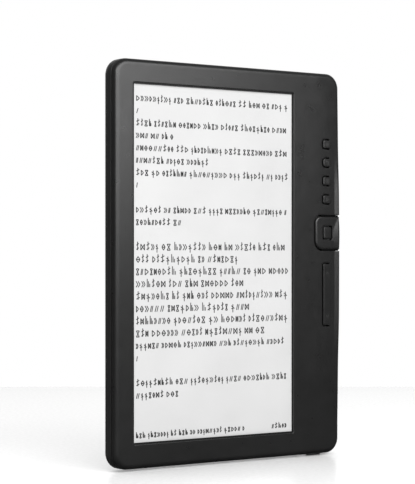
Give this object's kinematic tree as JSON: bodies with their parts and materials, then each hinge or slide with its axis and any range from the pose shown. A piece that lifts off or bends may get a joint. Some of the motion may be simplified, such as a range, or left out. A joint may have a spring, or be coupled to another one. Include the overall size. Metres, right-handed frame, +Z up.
{
  "type": "e-reader",
  "caption": "Hand-held e-reader with a tall screen, a key column with direction pad and page rocker at its right, and a pillowed back with a thicker grip.",
  "frame": {"origin": "under the middle of the upright reader, level with the outer face of the power button on its bottom edge", "axes": "+X right as seen from the front, +Y from the screen into the body, +Z up along its height"},
  "size_m": [0.124, 0.0118, 0.177],
  "materials": {
    "shell_plastic": "soft-touch matt, very fine grain",
    "frame_plastic": "satin",
    "cover_plastic": "soft-touch matt, very fine grain",
    "key_plastic": "matt",
    "power_plastic": "satin",
    "screw_steel": "zinc plated",
    "grey_rubber": "matt",
    "black_foam": "open-cell foam",
    "rim_steel": "satin",
    "screen_white": "anti-glare, with the page lit from behind",
    "guide_acrylic": "clear",
    "led_yellow": "gloss",
    "tray_white": "satin",
    "plate_aluminium": "mill finish",
    "amber_film": "satin film",
    "board_green": "solder mask",
    "chip_black": "matt moulding",
    "can_steel": "satin",
    "socket_steel": "satin",
    "jack_plastic": "satin",
    "switch_plastic": "satin",
    "dome_steel": "bright",
    "battery_foil": "foil pouch",
    "tape_cream": "tissue tape",
    "wire_sleeve": "PVC sleeve",
    "plug_white": "satin",
    "speaker_plastic": "satin",
    "mesh_black": "woven"
  },
  "bodies": {
    "housing": {"front_shell": "shell_plastic", "mid_frame": "frame_plastic", "back_cover": "cover_plastic", "housing_screws": "screw_steel", "screen_gasket": "black_foam", "display_rim": "rim_steel", "display_panel": "screen_white", "light_guide": "guide_acrylic", "led_strip": "led_yellow", "backlight_tray": "tray_white", "chassis_plate": "plate_aluminium", "display_flex": "amber_film", "main_board": "board_green", "board_chips": "chip_black", "shield_can": "can_steel", "usb_socket": "socket_steel", "headphone_jack": "jack_plastic", "card_socket": "socket_steel", "power_switch": "switch_plastic", "key_board": "board_green", "snap_domes": "dome_steel", "key_flex": "amber_film", "battery": "battery_foil", "battery_tape": "tape_cream", "battery_leads": "wire_sleeve", "battery_plug": "plug_white", "speaker": "speaker_plastic", "speaker_foam": "black_foam", "speaker_mesh": "mesh_black", "speaker_leads": "wire_sleeve"},
    "function_key_1": {"function_key_1": "key_plastic"},
    "function_key_2": {"function_key_2": "key_plastic"},
    "function_key_3": {"function_key_3": "key_plastic"},
    "function_key_4": {"function_key_4": "key_plastic"},
    "nav_rubber": {"nav_rubber": "grey_rubber"},
    "direction_pad": {"direction_pad": "key_plastic"},
    "centre_button": {"centre_button": "key_plastic"},
    "page_rocker": {"page_rocker": "key_plastic"},
    "power_button": {"power_button": "power_plastic"}
  },
  "joints": [
    {"name": "press_function_key_1", "type": "slide", "parent": "housing", "child": "function_key_1", "axis": [0, 1, 0], "range_m": [0, 0.0004], "stiffness_N_per_m": 4000},
    {"name": "press_function_key_2", "type": "slide", "parent": "housing", "child": "function_key_2", "axis": [0, 1, 0], "range_m": [0, 0.0004], "stiffness_N_per_m": 4000},
    {"name": "press_function_key_3", "type": "slide", "parent": "housing", "child": "function_key_3", "axis": [0, 1, 0], "range_m": [0, 0.0004], "stiffness_N_per_m": 4000},
    {"name": "press_function_key_4", "type": "slide", "parent": "housing", "child": "function_key_4", "axis": [0, 1, 0], "range_m": [0, 0.0004], "stiffness_N_per_m": 4000},
    {"name": "tilt_pad_up_down", "type": "hinge", "parent": "housing", "child": "nav_rubber", "pos_m": [0.0545, -0.00323, 0.103], "axis": [1, 0, 0], "range_deg": [-1.8, 1.8], "stiffness_Nm_per_rad": 0.3},
    {"name": "tilt_pad_left_right", "type": "hinge", "parent": "nav_rubber", "child": "direction_pad", "pos_m": [0.0545, -0.00323, 0.103], "axis": [0, 0, 1], "range_deg": [-1.8, 1.8], "stiffness_Nm_per_rad": 0.3},
    {"name": "press_centre_button", "type": "slide", "parent": "housing", "child": "centre_button", "axis": [0, 1, 0], "range_m": [0, 0.0004], "stiffness_N_per_m": 4000},
    {"name": "tilt_page_rocker", "type": "hinge", "parent": "housing", "child": "page_rocker", "pos_m": [0.0543, -0.00217, 0.0744], "axis": [1, 0, 0], "range_deg": [-1.2, 1.2], "stiffness_Nm_per_rad": 0.5},
    {"name": "press_power_button", "type": "slide", "parent": "housing", "child": "power_button", "axis": [0, 0, 1], "range_m": [0, 0.0005], "stiffness_N_per_m": 4000}
  ]
}
